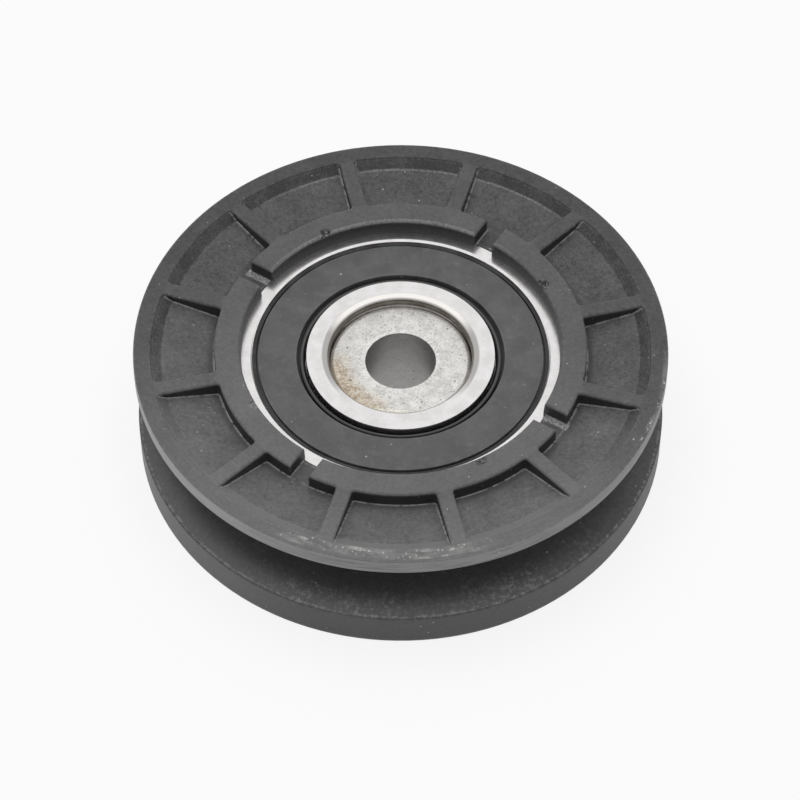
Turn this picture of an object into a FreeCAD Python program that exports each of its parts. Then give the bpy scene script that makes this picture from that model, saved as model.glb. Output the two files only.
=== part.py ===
"""Tensioner pulley: a ribbed plastic V pulley moulded round a sealed ball bearing with a steel bolt bush.

Millimetres. The axis is Z, the pulley lies flat and its lower rim stands on z = 0.
"""
import FreeCAD
import Part
import math
import os

# Pulley body
pulley_diameter = 63.5
pulley_width = 15.875
upper_flange_edge = 1.9
groove_mouth = 9.525
groove_half_angle = 17.0
groove_root_wall = 4.0
groove_root_round = 0.8
flange_edge_round = 0.2
moulded_edge_break = 0.2

# Ribs, pockets and collar of the body
rim_land_width = 2.15
rim_slope_run = 1.15
rim_slope_depth = 0.95
pocket_depth = 2.0
pocket_corner_round = 0.35
rib_count = 12
rib_width = 1.92
rib_angle = 13.1
collar_wall = 2.15
lip_overhang = 1.02
lip_draft = 0.14
notch_count = 4
notch_width = 2.55
gate_mark_diameter = 1.1
gate_mark_depth = 0.22

# Bearing rings and balls
bearing_bore = 17.0
bearing_diameter = 40.0
bearing_width = 12.0
ball_count = 8
ball_diameter = 6.747
race_conformity = 0.52
race_clearance = 0.03
shoulder_height = 1.2
outer_face_width = 2.32
outer_face_chamfer = 0.22
inner_face_width = 2.76
inner_face_round = 0.1
outer_ring_chamfer = 0.7
inner_ring_round = 0.69

# Cage
cage_band = 2.6
cage_sheet = 0.6
cage_pocket_clearance = 0.08
rivet_diameter = 1.0
rivet_head_diameter = 1.7
rivet_head_height = 0.4

# Seals
seal_cage_clearance = 0.4
seal_shoulder_clearance = 0.15
seal_face_recess = 0.25
seal_bead_width = 0.42
seal_bead_drop = 0.17
seal_line_width = 0.22
seal_line_depth = 0.35
seal_moat_width = 0.37
seal_web = 0.4
seal_lip_width = 0.7
seal_lip_slope = 0.35
seal_lip_drop = 0.35
seal_lip_clearance = 0.08
seal_snap_height = 0.25
seal_snap_width = 0.6
seal_snap_land = 0.2

# Bolt bush
bolt_bore = 8.33
bush_recess = 1.25
bush_stand = 1.0
bush_outer_round = 0.6
bush_bore_round = 0.2

# Gap between pieces that are pressed or moulded together
fit_gap = 0.01

# Most that one face of a rounded edge turns, in degrees
round_face_turn = 15.0

origin = FreeCAD.Vector(0, 0, 0)
axis = FreeCAD.Vector(0, 0, 1)

pulley_radius = pulley_diameter / 2
lower_flange_edge = pulley_width - upper_flange_edge - groove_mouth
rim_edge = pulley_radius - rim_land_width
rib_pitch = 360 / rib_count

bearing_radius = bearing_diameter / 2
bore_radius = bearing_bore / 2
bearing_bottom = (pulley_width - bearing_width) / 2
bearing_top = bearing_bottom + bearing_width
bearing_middle = pulley_width / 2
collar_radius = bearing_radius + collar_wall
lip_radius = bearing_radius - lip_overhang
lip_mouth = lip_radius + lip_draft

ball_radius = ball_diameter / 2
pitch_radius = (bearing_radius + bore_radius) / 2
race_reach = ball_radius + race_clearance
race_radius = race_conformity * ball_diameter
seal_seat_radius = bearing_radius - outer_face_width
inner_face_radius = bore_radius + inner_face_width

cage_pocket_radius = ball_radius + cage_pocket_clearance
cage_height = cage_pocket_radius + cage_sheet
seal_depth = bearing_width / 2 - cage_height - seal_cage_clearance
seal_snap_bottom = seal_depth - seal_snap_land
seal_snap_top = seal_snap_bottom - seal_snap_width


def outline(corners):
    """Closed wire in the XZ plane through (radius, height, rounding) corners, rounded by short arcs."""
    stretches = []
    for i, (radius, height, rounding) in enumerate(corners):
        corner = FreeCAD.Vector(radius, 0, height)
        if rounding == 0:
            stretches.append((corner, [], corner))
            continue
        before = corners[i - 1]
        after = corners[(i + 1) % len(corners)]
        to_before = (FreeCAD.Vector(before[0], 0, before[1]) - corner).normalize()
        to_after = (FreeCAD.Vector(after[0], 0, after[1]) - corner).normalize()
        half_angle = to_before.getAngle(to_after) / 2
        setback = rounding / math.tan(half_angle)
        inward = (to_before + to_after).normalize()
        crown = corner + inward * (rounding / math.sin(half_angle) - rounding)
        start = corner + to_before * setback
        end = corner + to_after * setback
        arc = Part.Arc(start, crown, end)
        faces = math.ceil((180 - 2 * math.degrees(half_angle)) / round_face_turn)
        turn = (arc.LastParameter - arc.FirstParameter) / faces
        cuts = [arc.FirstParameter + turn * j for j in range(faces + 1)]
        stretches.append((start, [arc.toShape(a, b) for a, b in zip(cuts, cuts[1:])], end))
    edges = []
    for i, (_, arcs, end) in enumerate(stretches):
        edges.extend(arcs)
        following = stretches[(i + 1) % len(stretches)][0]
        edges.append(Part.LineSegment(end, following).toShape())
    return Part.Wire(edges)


def turned(corners):
    """Solid of revolution about the axis, with its seam under the first rib."""
    solid = Part.Face(outline(corners)).revolve(origin, axis, 360)
    solid.rotate(origin, axis, rib_angle)
    return solid


def both_ends(corners):
    """A bearing part's corners from end to end, given as (radius, depth, rounding) from one face."""
    upper = [(radius, bearing_top - depth, rounding) for radius, depth, rounding in corners]
    lower = [(radius, bearing_bottom + depth, rounding) for radius, depth, rounding in reversed(corners)]
    return upper + lower


def around(shape, count, first_angle):
    """Copies of a shape that stands on +X, evenly spaced round the axis."""
    copies = []
    for i in range(count):
        copy = shape.copy()
        copy.rotate(origin, axis, first_angle + 360 * i / count)
        copies.append(copy)
    return copies


def mirrored(shape):
    """The same shape on the other side of the bearing's middle plane."""
    return shape.mirror(FreeCAD.Vector(0, 0, bearing_middle), axis)


def tube(inner, outer, bottom, top):
    """Plain ring about the axis."""
    base = FreeCAD.Vector(0, 0, bottom)
    return Part.makeCylinder(outer, top - bottom, base).cut(Part.makeCylinder(inner, top - bottom, base))


def radial_bar(inner, outer, width, bottom, top):
    """Bar along +X from one radius to another."""
    return Part.makeBox(outer - inner, width, top - bottom, FreeCAD.Vector(inner, -width / 2, bottom))


def body_blank():
    """Body before its pockets: two flanges, the V groove, and the seat that grips the outer ring."""
    root = bearing_radius + groove_root_wall
    side_fall = (pulley_radius - root) * math.tan(math.radians(groove_half_angle))
    groove_top = pulley_width - upper_flange_edge
    seat = bearing_radius + fit_gap
    return turned([
        (pulley_radius, pulley_width, flange_edge_round),
        (pulley_radius, groove_top, flange_edge_round),
        (root, groove_top - side_fall, groove_root_round),
        (root, lower_flange_edge + side_fall, groove_root_round),
        (pulley_radius, lower_flange_edge, flange_edge_round),
        (pulley_radius, 0, flange_edge_round),
        (lip_mouth + moulded_edge_break, 0, 0),
        (lip_mouth, moulded_edge_break, 0),
        (lip_radius, bearing_bottom, 0),
        (seat - outer_ring_chamfer, bearing_bottom, 0),
        (seat, bearing_bottom + outer_ring_chamfer, 0),
        (seat, bearing_top - outer_ring_chamfer, 0),
        (seat - outer_ring_chamfer, bearing_top, 0),
        (lip_radius, bearing_top, 0),
        (lip_mouth, pulley_width - moulded_edge_break, 0),
        (lip_mouth + moulded_edge_break, pulley_width, 0),
    ])


def pockets(deeper):
    """Hollows between the ribs of the upper side. Each floor falls from the rim's slope to the collar."""
    above = pulley_width + rim_land_width
    floor = pulley_width - pocket_depth - deeper
    slope_foot = pulley_width - rim_slope_depth - deeper
    slope_head = pulley_width - 1.2 * moulded_edge_break
    base = FreeCAD.Vector(0, 0, floor)
    wedge = Part.makeCylinder(rim_edge, above - floor, base, axis, rib_pitch)
    wedge = wedge.cut(Part.makeCylinder(collar_radius, above - floor, base))
    rib = radial_bar(lip_radius, pulley_radius, rib_width, floor, above)
    wedge = wedge.cut(around(rib, rib_count, 0)[:2])
    upright = [edge for edge in wedge.Edges if abs(edge.tangentAt(edge.FirstParameter).z) > 0.5]
    wedge = wedge.makeFillet(pocket_corner_round, upright)
    hollow = turned([
        (lip_radius, above, 0),
        (lip_radius, floor, 0),
        (collar_radius, floor, 0),
        (rim_edge - rim_slope_run, slope_foot, 0),
        (rim_edge, slope_head, 0),
        (pulley_radius, slope_head, 0),
        (pulley_radius, above, 0),
    ])
    hollow.rotate(origin, axis, -2 * rib_angle)
    return around(wedge.common(hollow), rib_count, rib_angle)


def notches():
    """Gaps through the upper collar between ribs, down to the bearing's face, with broken upper edges."""
    half = notch_width / 2
    shoulder = pulley_width - moulded_edge_break
    above = pulley_width + collar_wall
    flare = half + above - shoulder
    section = [(-half, bearing_top), (half, bearing_top), (half, shoulder), (flare, above), (-flare, above),
               (-half, shoulder), (-half, bearing_top)]
    face = Part.Face(Part.makePolygon([FreeCAD.Vector(bore_radius, y, z) for y, z in section]))
    past_collar = collar_radius + 2 * moulded_edge_break
    gap = face.extrude(FreeCAD.Vector(past_collar - bore_radius, 0, 0))
    return around(gap, notch_count, rib_angle + 1.5 * rib_pitch)


def gate_marks():
    """Shallow pits where the runners broke off the collar's inner edge, halfway between the notches."""
    radius = gate_mark_diameter / 2
    place = FreeCAD.Vector(lip_mouth + radius / 2, 0, pulley_width - gate_mark_depth)
    pit = Part.makeCylinder(radius, 2 * gate_mark_depth, place)
    return around(pit, notch_count, rib_angle + rib_pitch / 2)


def pocket_edges(body, height):
    """Edges that the pockets leave on a face of the body."""
    found = []
    for edge in body.Edges:
        flat = all(abs(vertex.Z - height) < fit_gap for vertex in edge.Vertexes)
        radii = [math.hypot(vertex.X, vertex.Y) for vertex in edge.Vertexes]
        if flat and min(radii) > collar_radius - fit_gap and max(radii) < rim_edge + fit_gap:
            found.append(edge)
    return found


def pulley_body():
    deeper = lower_flange_edge - upper_flange_edge
    body = body_blank().cut(pockets(0))
    body = body.cut([mirrored(pocket) for pocket in pockets(deeper)])
    body = body.makeChamfer(moulded_edge_break, pocket_edges(body, pulley_width) + pocket_edges(body, 0))
    body = body.cut(notches())
    body = body.cut([mirrored(notch) for notch in notches()])
    return body.cut(gate_marks())


def raceway(centre_radius):
    """Torus that cuts the ball track into a ring."""
    return Part.makeTorus(centre_radius, race_radius, FreeCAD.Vector(0, 0, bearing_middle), axis)


def bearing_outer_ring():
    snap = seal_seat_radius + seal_snap_height
    shoulder = pitch_radius + race_reach - shoulder_height
    ring = turned(both_ends([
        (bearing_radius, outer_ring_chamfer, 0),
        (bearing_radius - outer_ring_chamfer, 0, 0),
        (seal_seat_radius + outer_face_chamfer, 0, 0),
        (seal_seat_radius, outer_face_chamfer, 0),
        (seal_seat_radius, seal_snap_top, 0),
        (snap, seal_snap_top, 0),
        (snap, seal_snap_bottom, 0),
        (seal_seat_radius, seal_snap_bottom, 0),
        (seal_seat_radius, seal_depth, 0),
        (shoulder, seal_depth, 0),
    ]))
    return ring.cut(raceway(pitch_radius + race_reach - race_radius))


def bearing_inner_ring():
    shoulder = pitch_radius - race_reach + shoulder_height
    land_depth = seal_depth + seal_shoulder_clearance
    ring = turned(both_ends([
        (bore_radius, 0, inner_ring_round),
        (inner_face_radius, 0, inner_face_round),
        (inner_face_radius, land_depth, 0),
        (shoulder, land_depth, 0),
    ]))
    return ring.cut(raceway(pitch_radius - race_reach + race_radius))


def upper_seal():
    """Rubber ring: a low bead and a fine line, a flat face, a moat, and the lip that wipes the inner ring."""
    rim = seal_seat_radius - fit_gap
    snap = rim + seal_snap_height
    bead_inner = rim - seal_bead_width
    face_outer = bead_inner - seal_line_width
    lip_inner = inner_face_radius + seal_lip_clearance
    lip_outer = lip_inner + seal_lip_width
    face_inner = lip_outer + seal_moat_width
    bead_top = seal_face_recess + seal_bead_drop
    line_floor = bead_top + seal_line_depth
    lip_top = seal_face_recess + seal_lip_drop
    moat_floor = seal_depth - seal_web
    soft = seal_line_width / 4
    corners = [
        (rim, seal_snap_top + fit_gap, 0),
        (snap, seal_snap_top + fit_gap, 0),
        (snap, seal_snap_bottom - fit_gap, 0),
        (rim, seal_snap_bottom - fit_gap, 0),
        (rim, seal_depth - fit_gap, 0),
        (lip_inner, seal_depth - fit_gap, 0),
        (lip_inner, moat_floor, 0),
        (lip_inner + seal_lip_slope, lip_top, soft),
        (lip_outer, lip_top, soft),
        (lip_outer, moat_floor, 0),
        (face_inner, moat_floor, 0),
        (face_inner, seal_face_recess, soft),
        (face_outer, seal_face_recess, soft),
        (face_outer, line_floor, 0),
        (bead_inner, line_floor, 0),
        (bead_inner, bead_top, soft),
        (rim, bead_top, 0),
    ]
    return turned([(radius, bearing_top - depth, rounding) for radius, depth, rounding in corners])


def ball_places():
    """Centres of the balls, at even spacing on the pitch circle."""
    places = []
    for i in range(ball_count):
        turn = 2 * math.pi * i / ball_count
        x = pitch_radius * math.cos(turn)
        y = pitch_radius * math.sin(turn)
        places.append(FreeCAD.Vector(x, y, bearing_middle))
    return places


def cage_upper_half():
    """Pressed ribbon: a flat web between the balls and a dome over each of them."""
    inner = pitch_radius - cage_band / 2
    outer = pitch_radius + cage_band / 2
    band = tube(inner, outer, bearing_middle, bearing_middle + 2 * cage_height)
    domes = [Part.makeSphere(cage_height, place) for place in ball_places()]
    hollows = [Part.makeSphere(cage_pocket_radius, place) for place in ball_places()]
    hole_place = FreeCAD.Vector(pitch_radius, 0, bearing_middle)
    hole = Part.makeCylinder(rivet_diameter / 2 + fit_gap, cage_sheet, hole_place)
    web = tube(inner, outer, bearing_middle, bearing_middle + cage_sheet)
    half = web.fuse([dome.common(band) for dome in domes])
    return half.cut(hollows + around(hole, ball_count, 180 / ball_count)).removeSplitter()


def cage_rivets():
    """One rivet between each two balls, with a rounded head on both halves of the cage."""
    shank = rivet_diameter / 2
    head = rivet_head_diameter / 2
    grip = cage_sheet
    crown = grip + rivet_head_height
    soft = 0.75 * rivet_head_height
    profile = Part.Face(outline([
        (0, crown, 0),
        (head, crown, soft),
        (head, grip, 0),
        (shank, grip, 0),
        (shank, -grip, 0),
        (head, -grip, 0),
        (head, -crown, soft),
        (0, -crown, 0),
    ]))
    rivet = profile.revolve(origin, axis, 360)
    rivet.translate(FreeCAD.Vector(pitch_radius, 0, bearing_middle))
    return Part.makeCompound(around(rivet, ball_count, 180 / ball_count))


def bolt_bush():
    """Plain sleeve from the bore to the bolt. Its upper end is set back and its lower end stands out."""
    top = bearing_top - bush_recess
    bottom = bearing_bottom - bush_stand
    outer = bore_radius - fit_gap
    inner = bolt_bore / 2
    return turned([
        (inner, top, bush_bore_round),
        (outer, top, bush_outer_round),
        (outer, bottom, bush_outer_round),
        (inner, bottom, bush_bore_round),
    ])


pieces = {
    "pulley_body": pulley_body(),
    "bearing_outer_ring": bearing_outer_ring(),
    "bearing_inner_ring": bearing_inner_ring(),
    "upper_seal": upper_seal(),
    "lower_seal": mirrored(upper_seal()),
    "cage_upper_half": cage_upper_half(),
    "cage_lower_half": mirrored(cage_upper_half()),
    "cage_rivets": cage_rivets(),
    "bolt_bush": bolt_bush(),
}
for number, place in enumerate(ball_places(), start=1):
    pieces[f"ball_{number}"] = Part.makeSphere(ball_radius, place)

os.makedirs("parts", exist_ok=True)
for name, shape in pieces.items():
    shape.exportStep(f"parts/{name}.step")
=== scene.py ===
import math

import bpy
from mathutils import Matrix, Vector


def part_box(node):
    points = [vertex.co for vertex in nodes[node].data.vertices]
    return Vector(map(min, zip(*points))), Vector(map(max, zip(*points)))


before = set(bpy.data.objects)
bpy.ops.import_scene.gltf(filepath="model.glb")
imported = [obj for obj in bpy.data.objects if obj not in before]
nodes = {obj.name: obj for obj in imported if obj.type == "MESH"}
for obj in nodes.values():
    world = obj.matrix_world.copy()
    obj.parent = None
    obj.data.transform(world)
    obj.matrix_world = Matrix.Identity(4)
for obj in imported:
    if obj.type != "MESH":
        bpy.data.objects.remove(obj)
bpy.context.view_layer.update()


# Bearing rings: the outer and inner ring of the sealed ball bearing, turned from bearing steel, hardened
# and ground. The faces keep the grinding wheel's fine circles, faint smears and a few nicks, and their outer
# edges are lighter, partly rubbed and partly a painted highlight. A painted highlight lies on the edge of
# the bore at the back and painted shade greys it at the sides, and painted shade tinted brown darkens the
# bore below.
class Wire:
    """A socket in a material. Sums on it add Math nodes, and node() adds any other node beside it."""

    def __init__(self, socket):
        self.socket = socket

    def node(self, kind, settings, sockets, output=0):
        tree = self.socket.id_data
        added = tree.nodes.new(kind)
        for name, value in settings.items():
            setattr(added, name, value)
        for name, value in sockets.items():
            if isinstance(value, Wire):
                tree.links.new(value.socket, added.inputs[name])
            else:
                added.inputs[name].default_value = value
        return Wire(added.outputs[output])

    def other(self, output):
        return Wire(self.socket.node.outputs[output])

    def into(self, socket):
        self.socket.id_data.links.new(self.socket, socket)

    def sum(self, operation, *values):
        return self.node("ShaderNodeMath", {"operation": operation}, dict(enumerate(values)))

    def __add__(self, value):
        return self.sum("ADD", self, value)

    def __radd__(self, value):
        return self.sum("ADD", value, self)

    def __sub__(self, value):
        return self.sum("SUBTRACT", self, value)

    def __rsub__(self, value):
        return self.sum("SUBTRACT", value, self)

    def __mul__(self, value):
        return self.sum("MULTIPLY", self, value)

    def __rmul__(self, value):
        return self.sum("MULTIPLY", value, self)

    def __truediv__(self, value):
        return self.sum("DIVIDE", self, value)

    def __rtruediv__(self, value):
        return self.sum("DIVIDE", value, self)

    def __mod__(self, value):
        return self.sum("FLOORED_MODULO", self, value)

    def __rmod__(self, value):
        return self.sum("FLOORED_MODULO", value, self)

    def __abs__(self):
        return self.sum("ABSOLUTE", self)

    def root(self):
        return self.sum("SQRT", self)

    def sine(self):
        return self.sum("SINE", self)

    def cosine(self):
        return self.sum("COSINE", self)

    def most(self, value):
        """The larger of two values."""
        return self.sum("MAXIMUM", self, value)

    def rise(self, low, high):
        """0 below low, 1 above high and a smooth climb between them; a fall if low is above high."""
        return self.node("ShaderNodeMapRange", {"interpolation_type": "SMOOTHSTEP"},
                         {"Value": self, "From Min": low, "From Max": high})

    def band(self, low, high, soft):
        """1 between two values, with soft ends."""
        return self.rise(low - soft, low) * self.rise(high + soft, high)

    def noise(self, scale, detail, roughness):
        """Cloudy value about 0.5 at each place that this wire gives."""
        return self.node("ShaderNodeTexNoise", {},
                         {"Vector": self, "Scale": scale, "Detail": detail, "Roughness": roughness})

    def blend(self, first, second):
        """A colour between two, where this wire is 0 and 1."""
        return self.node("ShaderNodeMix", {"data_type": "RGBA"}, {0: self, 6: first, 7: second}, 2)


def display(red, green, blue):
    """Colour as it looks on a screen, 0 to 255 a channel, as the shader's own linear values."""
    shares = [channel / 255 for channel in (red, green, blue)]
    linear = [share / 12.92 if share < 0.0404 else ((share + 0.055) / 1.055) ** 2.4 for share in shares]
    return (*linear, 1.0)


mm = 0.001


def new_finish(name, constants):
    """Material with its shader's constants set, and the place of each point on it in millimetres."""
    material = bpy.data.materials.new(name)
    material.use_nodes = True
    shader = material.node_tree.nodes["Principled BSDF"]
    for socket, value in constants.items():
        shader.inputs[socket].default_value = value
    metres = Wire(shader.outputs[0]).node("ShaderNodeTexCoord", {}, {}, "Object")
    place = metres.node("ShaderNodeVectorMath", {"operation": "SCALE"}, {0: metres, "Scale": 1 / mm})
    return material, shader.inputs, place


def about_axis(place):
    """Radius, angle in radians and height of each point about the pulley's axis."""
    x = place.node("ShaderNodeSeparateXYZ", {}, {0: place})
    y = x.other(1)
    return (x * x + y * y).root(), x.sum("ARCTAN2", y, x), x.other(2)


def circles(place, stretch):
    """Places for a pattern drawn out along circles about the axis, more so the smaller the stretch."""
    x = place.node("ShaderNodeSeparateXYZ", {}, {0: place})
    y = x.other(1)
    across = (x * x + y * y).root() + x.other(2)
    return x.node("ShaderNodeCombineXYZ", {}, {0: across, 1: x * stretch, 2: y * stretch})


def specks(place, spacing_mm, size_mm, share):
    """1 on small round grains, one to each spacing at most, on this share of the places."""
    grain = place.node("ShaderNodeTexVoronoi", {},
                       {"Vector": place, "Scale": 1 / spacing_mm, "Randomness": 1.0})
    chosen = grain.node("ShaderNodeSeparateColor", {}, {0: grain.other(1)})
    size = size_mm / spacing_mm * (0.4 + 0.6 * chosen.other(1))
    return (grain / size).rise(1.0, 0.5) * chosen.rise(share, share - 0.01)


def corners(place, reach_mm, inside):
    """1 in the hollow corners within this reach, or on the outer edges if inside is set."""
    open_share = place.node("ShaderNodeAmbientOcclusion",
                            {"samples": 4, "only_local": True, "inside": inside},
                            {"Distance": reach_mm * mm}, "AO")
    return (1 - open_share).rise(0.12, 0.45)


def rounded(place, edge_mm):
    """Normal that turns softly over an edge of this size."""
    return place.node("ShaderNodeBevel", {"samples": 6}, {"Radius": edge_mm * mm})


def relief(height, depth_mm, normal):
    """Bump of this depth where height is 1."""
    return height.node("ShaderNodeBump", {},
                       {"Strength": 1.0, "Distance": depth_mm * mm, "Height": height, "Normal": normal})


def toward(angle, degrees, narrow, wide):
    """1 within a narrow angle of a direction about the axis, and 0 past a wide one."""
    along = (angle - math.radians(degrees)).cosine()
    return along.rise(math.cos(math.radians(wide)), math.cos(math.radians(narrow)))


def dress(names, material):
    """Gives these CAD nodes a finish in place of their plain one."""
    for name in names:
        nodes[name].data.materials.clear()
        nodes[name].data.materials.append(material)


ring_steel, ring_inputs, ring_place = new_finish("ground_ring_steel", {"Metallic": 1.0})
ring_radius, ring_angle, ring_height = about_axis(ring_place)
bore_radius = 8.5
bearing_face = 13.94
bore_back = 90
grinding = circles(ring_place, stretch=0.06).noise(scale=7.0, detail=3.0, roughness=0.6)
smears = ring_place.noise(scale=0.5, detail=4.0, roughness=0.6)
ring_tone = (0.75 * smears + 0.25 * grinding).rise(0.34, 0.66)
ring_colour = ring_tone.blend(display(221, 219, 218), display(235, 233, 233))
ring_nicks = specks(ring_place, spacing_mm=1.7, size_mm=0.13, share=0.4)
ring_colour = (0.45 * ring_nicks).blend(ring_colour, display(138, 134, 128))
# Outer edges lighter, partly rubbed and partly a painted highlight.
rubbed_lit_edges = corners(ring_place, reach_mm=0.25, inside=True) * smears.rise(0.35, 0.6)
ring_colour = (0.4 * rubbed_lit_edges).blend(ring_colour, display(243, 242, 242))
# Painted highlight on the bore's edge at the back, and painted shade greying the edge at the sides.
highlight_side = toward(ring_angle, bore_back, narrow=42, wide=72)
edge_side_shade = ring_radius.rise(bore_radius + 1.02, bore_radius + 0.75) * (1 - highlight_side)
edge_side_shade = edge_side_shade * toward(ring_angle, bore_back, narrow=110, wide=145)
ring_colour = (0.75 * edge_side_shade).blend(ring_colour, display(156, 153, 150))
edge_highlight = ring_radius.band(bore_radius + 0.36, bore_radius + 0.8, 0.07) * highlight_side
ring_colour = (0.9 * edge_highlight).blend(ring_colour, display(252, 248, 243))
# Painted shade, tinted brown, on the bore wall under the edge, darkest at the top and clear lower down.
bore_shade = ring_radius.rise(bore_radius + 0.36, bore_radius + 0.06) * (0.65 + 0.6 * smears)
bore_shade = bore_shade * ring_height.rise(bearing_face - 1.25, bearing_face - 1.05)
ring_colour = bore_shade.blend(ring_colour, display(108, 102, 94))
ring_colour.into(ring_inputs["Base Color"])
(0.16 + 0.1 * smears + 0.06 * grinding).into(ring_inputs["Roughness"])
relief(grinding, depth_mm=0.0006, normal=rounded(ring_place, edge_mm=0.08)).into(ring_inputs["Normal"])
dress(["bearing_outer_ring", "bearing_inner_ring"], ring_steel)


# Balls: eight chrome steel balls between the rings, lapped to a mirror and wet with grease, with a slightly
# duller track where they roll. They stay out of sight behind the seals.
ball_steel, ball_inputs, ball_place = new_finish("lapped_ball_steel", {"Metallic": 1.0})
ball_height = about_axis(ball_place)[2]
ball_low, ball_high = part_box("ball_1")
ball_middle = (ball_low.z + ball_high.z) / 2 / mm
track_half = 0.7
track = ball_height.band(ball_middle - track_half, ball_middle + track_half, 0.3)
grease = ball_place.noise(scale=0.7, detail=3.0, roughness=0.55)
ball_colour = grease.rise(0.35, 0.7).blend(display(226, 227, 230), display(206, 203, 196))
ball_colour = (0.4 * track).blend(ball_colour, display(188, 187, 186))
ball_colour.into(ball_inputs["Base Color"])
(0.05 + 0.12 * grease + 0.08 * track).into(ball_inputs["Roughness"])
relief(grease, depth_mm=0.003, normal=rounded(ball_place, edge_mm=0.05)).into(ball_inputs["Normal"])
dress([name for name in nodes if name.startswith("ball_")], ball_steel)


# Cage: two halves pressed from thin steel sheet, each with a dome over every ball, and the eight rivets
# that hold them together. The sheet keeps the dull mill finish and small marks of the press tool.
cage_steel, cage_inputs, cage_place = new_finish("pressed_cage_steel", {"Metallic": 1.0})
mill = cage_place.noise(scale=1.8, detail=4.0, roughness=0.6)
press_marks = cage_place.noise(scale=7.0, detail=2.0, roughness=0.5)
cage_colour = mill.rise(0.3, 0.7).blend(display(168, 167, 165), display(192, 191, 189))
rubbed = corners(cage_place, reach_mm=0.2, inside=True) * press_marks.rise(0.35, 0.6)
cage_colour = (0.6 * rubbed).blend(cage_colour, display(216, 215, 214))
cage_colour.into(cage_inputs["Base Color"])
(0.3 + 0.2 * press_marks).into(cage_inputs["Roughness"])
relief(press_marks, depth_mm=0.004, normal=rounded(cage_place, edge_mm=0.05)).into(cage_inputs["Normal"])
dress(["cage_upper_half", "cage_lower_half", "cage_rivets"], cage_steel)


# Seals: one black nitrile rubber ring on each side, snapped into a groove of the outer ring, with a lip that
# wipes the inner ring. The moulded face is smooth and dull, with wipe marks, fine scratches and a little
# dust. The bead at its rim is blacker. The lip and the groove beside it are painted near black as shade, but
# for a grey band on the lip's crest, and the lip is less rough.
seal_rubber, seal_inputs, seal_place = new_finish("seal_rubber", {})
seal_radius = about_axis(seal_place)[0]
face_inner = 12.41
bead_inner = 17.2
crest_outer = face_inner - 0.58
crest_inner = face_inner - 0.78
wipes = seal_place.noise(scale=0.35, detail=4.0, roughness=0.6)
skin = seal_place.noise(scale=5.0, detail=3.0, roughness=0.6)
rubber_tone = (0.7 * wipes + 0.3 * skin).rise(0.36, 0.64)
rubber = rubber_tone.blend(display(85, 85, 86), display(99, 99, 100))
haze = seal_place.noise(scale=0.8, detail=5.0, roughness=0.65).rise(0.5, 0.75)
rubber = (0.22 * haze).blend(rubber, display(140, 140, 140))
scratches = circles(seal_place, stretch=0.3).noise(scale=2.2, detail=5.0, roughness=0.7).rise(0.64, 0.74)
scratches = scratches * wipes.rise(0.5, 0.6)
rubber = (0.3 * scratches).blend(rubber, display(140, 140, 141))
seal_dust = specks(seal_place, spacing_mm=2.1, size_mm=0.17, share=0.7)
seal_dust = seal_dust.most(specks(seal_place, spacing_mm=1.1, size_mm=0.09, share=0.7))
rubber = (0.7 * seal_dust).blend(rubber, display(205, 205, 203))
bead = seal_radius.rise(bead_inner - 0.15, bead_inner)
rubber = (0.9 * bead).blend(rubber, display(28, 28, 29))
greyed = corners(seal_place, reach_mm=0.25, inside=True) * wipes.rise(0.4, 0.6)
rubber = (0.3 * greyed).blend(rubber, display(140, 140, 140))
# Painted shade: the lip and the groove beside it, inside the face, are near black; the crest keeps a grey
# band.
shaded_lip = seal_radius.rise(face_inner, face_inner - 0.1)
rubber = shaded_lip.blend(rubber, display(30, 30, 31))
lip_crest = seal_radius.band(crest_inner, crest_outer, 0.06)
rubber = (0.7 * lip_crest).blend(rubber, display(92, 90, 89))
rubber.into(seal_inputs["Base Color"])
(0.5 + 0.14 * wipes - 0.15 * shaded_lip).into(seal_inputs["Roughness"])
relief(skin, depth_mm=0.003, normal=rounded(seal_place, edge_mm=0.06)).into(seal_inputs["Normal"])
dress(["upper_seal", "lower_seal"], seal_rubber)


# Pulley body: one moulding of black glass-filled nylon, shot round the bearing so that its collar grips the
# outer ring. Glass fibres make it cloudy and grainy, less so on its top faces. Light and shade are painted
# into
# its tone: upright walls, slopes and the groove darker, the front, the left walls and the outer edges
# lighter. The gates have crumbled, pale lines run along the hollows, and the front of the upper rim is
# scuffed.
body_plastic, body_inputs, body_place = new_finish("glass_filled_nylon", {})
body_radius, body_angle, body_height = about_axis(body_place)
body_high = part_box("pulley_body")[1]
rim_radius = body_high.x / mm
body_top = body_high.z / mm
half_width = body_top / 2
land_width = 2.15
slope_width = 1.15
land_inner = rim_radius - land_width
slope_inner = land_inner - slope_width
collar_outer = 22.15
collar_inner = 19.12
half_web = 3.5
upper_flange = body_top - 1.9
lower_flange = 4.45

# Faces, slopes, edges and walls
normal = body_place.node("ShaderNodeNewGeometry", {}, {}, "Normal")
level = abs(normal.node("ShaderNodeSeparateXYZ", {}, {0: normal}).other(2))
from_middle = abs(body_height - half_width)
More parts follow.
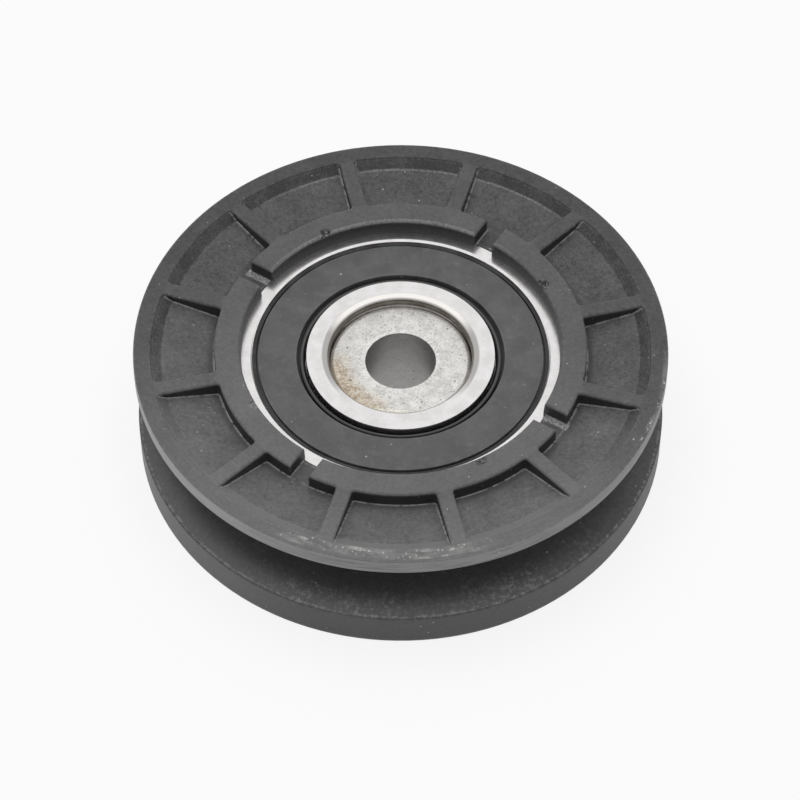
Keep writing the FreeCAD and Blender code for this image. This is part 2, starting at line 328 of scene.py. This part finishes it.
# flat is 1 on upward faces and top chamfers; the tone paints these lighter and upright walls darker, as
# light and shade.
flat = level.rise(0.35, 0.95).most(from_middle.rise(half_width - 0.5, half_width - 0.3))
face = from_middle.rise(half_width - 0.4, half_width - 0.2)
upper_side = body_height.rise(half_width, half_width + 4)
in_pocket = from_middle.rise(half_web - 0.1, half_web + 0.1)
land = body_radius.rise(land_inner - 0.1, land_inner + 0.15) * face
slope = body_radius.band(slope_inner, land_inner + 0.05, 0.08) * in_pocket
slope = slope * from_middle.rise(half_width - 0.05, half_width - 0.15)
collar = body_radius.rise(collar_outer + 0.3, collar_outer - 0.1) * face
collar_foot = body_radius.rise(collar_inner + 0.5, collar_inner + 0.2)
collar_foot = collar_foot * from_middle.rise(half_width - 0.9, half_width - 1.1)
outer_edges = corners(body_place, reach_mm=0.35, inside=True) * (1 - collar_foot)
wall = body_radius.rise(rim_radius - 0.12, rim_radius - 0.03)
lower_wall = wall * body_height.rise(lower_flange + 0.1, lower_flange - 0.1)
upper_wall = wall * body_height.rise(upper_flange - 0.1, upper_flange + 0.1)
groove = body_radius.rise(rim_radius - 0.1, rim_radius - 0.25)
groove = groove * body_height.band(lower_flange, upper_flange, 0.1)
# Painted light: walls lighter on the left side.
lit_left = toward(body_angle, degrees=207, narrow=12, wide=45)
# Painted light: upward faces at the front are lighter.
lit_front = toward(body_angle, degrees=257, narrow=45, wide=115) * upper_side
# Scuffed front of the upper rim, also painted light: its top face and slopes at the front are lighter.
scuffed_and_lit_front = toward(body_angle, degrees=265, narrow=20, wide=85) * upper_side
scuffed_and_lit_front = scuffed_and_lit_front * body_radius.rise(21.0, 30.0)

# Grain of the moulding
clouds = body_place.noise(scale=0.28, detail=3.0, roughness=0.55)
mottle = body_place.noise(scale=1.9, detail=4.0, roughness=0.65)
grit = body_place.noise(scale=4.4, detail=3.0, roughness=0.7)
fibres = 0.6 * clouds + 0.9 * mottle + 0.9 * grit - 1.2
graininess = 0.26 + 0.64 * flat - 0.32 * face - 0.5 * groove
bloom = body_place.noise(scale=0.33, detail=4.0, roughness=0.65).rise(0.5, 0.66)
bloom = bloom * grit.rise(0.42, 0.62) * flat * (1 - face)
# Tone: grain, with light and shade painted in. Slopes and the groove are painted darker as shade, outer
# edges lighter as a painted highlight.
tone = 0.035 + 0.32 * flat + fibres * graininess + 0.17 * bloom
tone = tone + lower_wall * (0.28 + 0.26 * lit_left) + 0.14 * collar + 0.12 * outer_edges
tone = tone - 0.11 * land - 0.26 * slope * (0.6 + 0.8 * mottle) - 0.12 * groove
tone = tone + 0.22 * lit_front * flat + scuffed_and_lit_front * (0.05 + 0.26 * face + 0.73 * slope)
plastic = tone.blend(display(36, 36, 36), display(118, 118, 118))

# Upper rim's wall lighter, with drag streaks round it, and painted light on its left side
wall_drag = circles(body_place, stretch=0.07).noise(scale=2.2, detail=4.0, roughness=0.7).rise(0.3, 0.7)
plastic = (upper_wall * (0.6 + 0.55 * wall_drag)).blend(plastic, display(148, 148, 148))
plastic = (0.5 * upper_wall * lit_left).blend(plastic, display(184, 184, 183))

# Pale lines in the corners and at the feet of the far slopes, a painted highlight on the collar's far crest,
# and outer edges lighter, partly worn and partly a painted highlight
# Pale lines along the hollow corners of upward faces.
pale_hollow_lines = corners(body_place, reach_mm=0.35, inside=False) * flat * mottle.rise(0.34, 0.54)
plastic = (0.9 * pale_hollow_lines).blend(plastic, display(194, 193, 191))
# Pale grainy line at the feet of the far slopes.
slope_foot_line = body_radius.band(slope_inner - 0.14, slope_inner + 0.04, 0.08) * in_pocket * (1 - face)
slope_foot_line = slope_foot_line * toward(body_angle, degrees=84, narrow=22, wide=48) * upper_side
slope_foot_line = slope_foot_line * (0.25 + 0.75 * grit.rise(0.4, 0.62))
# Painted highlight along the collar's inner top edge at the back.
collar_crest_highlight = body_radius.band(collar_inner + 0.05, collar_inner + 0.35, 0.12) * face
collar_crest_highlight = collar_crest_highlight * toward(body_angle, degrees=97, narrow=28, wide=60) * upper_side
collar_crest_highlight = collar_crest_highlight * (0.3 + 0.7 * grit.rise(0.38, 0.6))
plastic = (0.5 * slope_foot_line + 0.45 * collar_crest_highlight).blend(plastic, display(164, 164, 162))
# Outer edges lighter, partly worn and partly a painted highlight.
worn_and_lit_edges = outer_edges * mottle.rise(0.45, 0.65)
plastic = (0.4 * worn_and_lit_edges).blend(plastic, display(172, 172, 171))

# Scuffs on the upper rim: fine drag lines, chalky haze, rub marks and chips
fine_drag = circles(body_place, stretch=0.03).noise(scale=5.0, detail=3.0, roughness=0.6).rise(0.54, 0.68)
plastic = (0.25 * fine_drag * scuffed_and_lit_front * face).blend(plastic, display(150, 150, 149))
scuff_band = body_radius.band(rim_radius - 1.75, rim_radius - 0.8, 0.4)
scuff_band = scuff_band * toward(body_angle, degrees=266, narrow=17, wide=27)
scuff_edge = body_radius.band(rim_radius - 0.5, rim_radius - 0.15, 0.15)
scuff_edge = scuff_edge * toward(body_angle, degrees=345, narrow=8, wide=16)
scuffs = scuff_band.most(scuff_edge) * face * upper_side
chalking = circles(body_place, stretch=0.35).noise(scale=1.1, detail=4.0, roughness=0.7).rise(0.36, 0.72)
plastic = (0.34 * scuffs * chalking).blend(plastic, display(190, 189, 187))
rub_marks = specks(circles(body_place, stretch=0.3), spacing_mm=1.2, size_mm=0.6, share=0.6)
rub_marks = rub_marks * (0.2 + 0.8 * grit.rise(0.38, 0.6))
plastic = (0.8 * scuffs * rub_marks).blend(plastic, display(204, 202, 199))
chips = specks(body_place, spacing_mm=0.42, size_mm=0.19, share=0.7)
chips = chips.most(specks(circles(body_place, stretch=0.55), spacing_mm=1.0, size_mm=0.36, share=0.55))
chips = chips * body_place.noise(scale=0.7, detail=2.0, roughness=0.5).rise(0.3, 0.68)
plastic = (0.8 * scuffs * chips).blend(plastic, display(212, 210, 207))

# Painted light and patchy dust on the groove's lower flank, and a painted highlight along its outer edge
flank = groove * body_height.rise(lower_flange + 2.2, lower_flange + 1.9)
# Painted light on the flank's outer part, strongest at the front.
flank_light = 0.12 + 0.25 * toward(body_angle, degrees=250, narrow=25, wide=75)
flank_light = flank_light * body_radius.rise(28.0, 30.8)
dust_patches = 0.25 + 0.75 * body_place.noise(scale=0.24, detail=3.0, roughness=0.6).rise(0.42, 0.58)
dust_patches = dust_patches * toward(body_angle, degrees=277, narrow=24, wide=46)
groove_dust = body_place.noise(scale=1.9, detail=5.0, roughness=0.75).rise(0.46, 0.68)
groove_dust = groove_dust * body_radius.rise(27.5, 30.8) * (0.08 + 0.92 * dust_patches)
plastic = (flank * (flank_light + 0.8 * groove_dust)).blend(plastic, display(156, 156, 155))
# Painted highlight along the flank's outer edge.
flank_edge_highlight = flank * body_radius.band(rim_radius - 0.4, rim_radius - 0.15, 0.1) * mottle.rise(0.4, 0.65)
plastic = (0.6 * flank_edge_highlight).blend(plastic, display(168, 167, 165))

# Crumbled gates, a quarter turn apart on the collar's inner edge
gate_degrees = 28.1
quarter_turn = math.pi / 2
gate_turn = body_angle - math.radians(gate_degrees) + quarter_turn / 2
gate_turn = gate_turn % quarter_turn - quarter_turn / 2
gate_out = body_radius * gate_turn.cosine() - (collar_inner + 0.3)
gate_along = body_radius * gate_turn.sine()
gate = (gate_out * gate_out + gate_along * gate_along).root().rise(1.05, 0.55) * face
gate = gate * toward(body_angle, gate_degrees, narrow=120, wide=160)
crumbs = body_place.noise(scale=2.8, detail=4.0, roughness=0.75)
plastic = (gate * crumbs.rise(0.56, 0.46)).blend(plastic, display(28, 28, 29))
plastic = (0.6 * gate * crumbs.rise(0.56, 0.64)).blend(plastic, display(140, 139, 138))

# Pale trimmed floors of two of the collar's notches
notch_floor = body_height.band(bearing_face - 0.1, bearing_face + 0.1, 0.1)
notch_floor = notch_floor * body_radius.band(collar_inner - 0.1, collar_outer + 0.3, 0.1)
left_trim = toward(body_angle, degrees=145.6, narrow=1.0, wide=1.5)
right_trim = toward(body_angle, degrees=330.6, narrow=1.0, wide=1.5)
trimmed = notch_floor * left_trim.most(right_trim) * (0.2 + 0.8 * grit.rise(0.38, 0.66))
plastic = trimmed.blend(plastic, display(176, 176, 175))

# Loose dust all over
body_dust = specks(body_place, spacing_mm=1.5, size_mm=0.12, share=0.8)
body_dust = body_dust.most(specks(body_place, spacing_mm=2.7, size_mm=0.2, share=0.4))
plastic = (0.7 * body_dust).blend(plastic, display(205, 204, 201))
plastic.into(body_inputs["Base Color"])
(0.56 - 0.1 * mottle).into(body_inputs["Roughness"])
body_grain = 0.35 * mottle + 0.35 * grit + gate * crumbs
relief(body_grain, depth_mm=0.04, normal=rounded(body_place, edge_mm=0.3)).into(body_inputs["Normal"])
dress(["pulley_body"], body_plastic)


# Bolt bush: a plain steel sleeve pressed into the inner ring, set back below its face, that takes the bolt.
# Its sawn end is dull and peppered with small pits. Rust has stained one side of it yellow and brown, and a
# few pale glints are painted on its outer edge beside the stain. The wall of its bore is painted darker as
# shade.
bush_steel, bush_inputs, bush_place = new_finish("bush_steel", {})
bush_radius, bush_angle = about_axis(bush_place)[:2]
bolt_radius = 4.165
bush_cloud = bush_place.noise(scale=0.9, detail=4.0, roughness=0.6)
bush_grain = bush_place.noise(scale=4.0, detail=4.0, roughness=0.7)
bush_tone = (0.45 * bush_cloud + 0.55 * bush_grain).rise(0.36, 0.64)
bush_colour = bush_tone.blend(display(202, 200, 197), display(240, 238, 235))
stain = toward(bush_angle, degrees=215, narrow=8, wide=52) * bush_radius.rise(5.2, 7.6)
bush_colour = (0.4 * stain).blend(bush_colour, display(218, 198, 160))
rust = 0.45 * bush_place.noise(scale=1.1, detail=4.0, roughness=0.7)
rust = rust + 0.55 * bush_place.noise(scale=4.2, detail=3.0, roughness=0.7)
rust = stain * rust.rise(0.42, 0.6)
bush_colour = (0.75 * rust).blend(bush_colour, display(152, 121, 80))
# Painted glints on the outer edge at the front.
edge_glints = bush_radius.band(7.6, 8.3, 0.2) * bush_grain.rise(0.46, 0.6)
edge_glints = edge_glints * toward(bush_angle, degrees=262, narrow=14, wide=30)
bush_colour = (0.8 * edge_glints).blend(bush_colour, display(252, 247, 228))
# Painted shade: the wall of the bolt's bore is darker grey.
bolt_bore_shade = bush_radius.rise(bolt_radius + 0.1, bolt_radius + 0.02)
bush_colour = (0.8 * bolt_bore_shade).blend(bush_colour, display(148, 146, 146))
pits = specks(bush_place, spacing_mm=0.42, size_mm=0.12, share=0.75)
pits = pits.most(specks(bush_place, spacing_mm=1.0, size_mm=0.2, share=0.8))
bush_colour = (0.65 * pits).blend(bush_colour, display(104, 99, 92))
bolt_chamfer = bush_radius.band(bolt_radius + 0.12, bolt_radius + 0.45, 0.1)
bush_colour = (bolt_chamfer * bush_grain.rise(0.4, 0.7)).blend(bush_colour, display(245, 244, 242))
bush_colour.into(bush_inputs["Base Color"])
(1 - 0.75 * rust).into(bush_inputs["Metallic"])
(0.4 + 0.16 * bush_grain + 0.2 * rust).into(bush_inputs["Roughness"])
bush_relief = 0.5 * bush_grain - pits
relief(bush_relief, depth_mm=0.02, normal=rounded(bush_place, edge_mm=0.1)).into(bush_inputs["Normal"])
dress(["bolt_bush"], bush_steel)


# Stage: the pulley lies on a plain white table that fades into a white room, under one overhead softbox that
# the steel doesn't mirror. Table and room show white to the camera and in the steel. The table keeps the
# pulley's soft shadow and is clear from below.
floor_size = 3.0
floor_gap = 0.02 * mm
shadow_share = 0.16
pure_white = (1.0, 1.0, 1.0, 1.0)
bpy.ops.object.select_all(action="DESELECT")
bpy.ops.mesh.primitive_plane_add(size=floor_size, location=(0, 0, -floor_gap))
floor = bpy.context.object
floor.name = "table"
table_white = bpy.data.materials.new("table_white")
table_white.use_nodes = True
table_tree = table_white.node_tree
table_shader = table_tree.nodes["Principled BSDF"]
table_shader.inputs["Base Color"].default_value = (0.97, 0.97, 0.97, 1.0)
table_shader.inputs["Roughness"].default_value = 0.9
table_shader.inputs["Specular IOR Level"].default_value = 0.0


def seen_rays(wire):
    """1 for what the camera sees directly, in a mirror or through glass."""
    rays = wire.node("ShaderNodeLightPath", {}, {}, "Is Camera Ray")
    return rays.most(rays.other("Is Glossy Ray")).most(rays.other("Is Transmission Ray"))


def mix(factor, first, second):
    """A shader between two, where the factor is 0 and 1."""
    return factor.node("ShaderNodeMixShader", {}, {0: factor, 1: first, 2: second})


table_wire = Wire(table_shader.outputs[0])
glow = table_wire.node("ShaderNodeEmission", {}, {"Color": pure_white, "Strength": 1.0})
table_above = mix((1 - shadow_share) * seen_rays(table_wire), table_wire, glow)
from_below = table_wire.node("ShaderNodeNewGeometry", {}, {}, "Backfacing")
clear = table_wire.node("ShaderNodeBsdfTransparent", {}, {})
mix(from_below, table_above, clear).into(table_tree.nodes["Material Output"].inputs["Surface"])
floor.data.materials.append(table_white)

front_light = 0.2
back_light = 0.6
room = bpy.data.worlds.new("white_room")
bpy.context.scene.world = room
room.use_nodes = True
room_tree = room.node_tree
room_wire = Wire(room_tree.nodes["Background"].outputs[0])
front, back, white = [
    room_wire.node("ShaderNodeBackground", {}, {"Color": pure_white, "Strength": strength})
    for strength in (front_light, back_light, 1.0)
]
direction = room_wire.node("ShaderNodeTexCoord", {}, {}, "Generated")
backward = direction.node("ShaderNodeSeparateXYZ", {}, {0: direction}).other(1)
room_light = mix(0.5 + 0.5 * backward, front, back)
mix(seen_rays(room_wire), room_light, white).into(room_tree.nodes["World Output"].inputs["Surface"])

softbox_height = 0.8
softbox_back = 0.04
softbox_left = 0.05
softbox_size = 0.6
softbox_power = 3.2
bpy.ops.object.light_add(
    type="AREA",
    location=(-softbox_left, softbox_back, softbox_height),
    rotation=(-math.atan2(softbox_back, softbox_height), -math.atan2(softbox_left, softbox_height), 0))
softbox = bpy.context.object
softbox.name = "softbox"
softbox.data.size = softbox_size
softbox.data.energy = softbox_power
softbox.visible_glossy = False


# Camera: a long lens on a stand in front of the table, looking down on the pulley at a little over half a
# right angle, as the photograph does.
camera_distance = 0.39195
camera_elevation = math.radians(51.381)
camera_drop = math.radians(52.350)
camera_pan = math.radians(0.0171)
camera_lens = 148.62
aim_height = (body_top - 0.1) * mm
bpy.ops.object.camera_add(
    location=(0, -camera_distance * math.cos(camera_elevation),
              aim_height + camera_distance * math.sin(camera_elevation)),
    rotation=(math.pi / 2 - camera_drop, 0, camera_pan))
camera = bpy.context.object
camera.data.lens = camera_lens
camera.data.sensor_width = 36.0
bpy.context.scene.camera = camera
bpy.context.scene.view_settings.view_transform = "Standard"
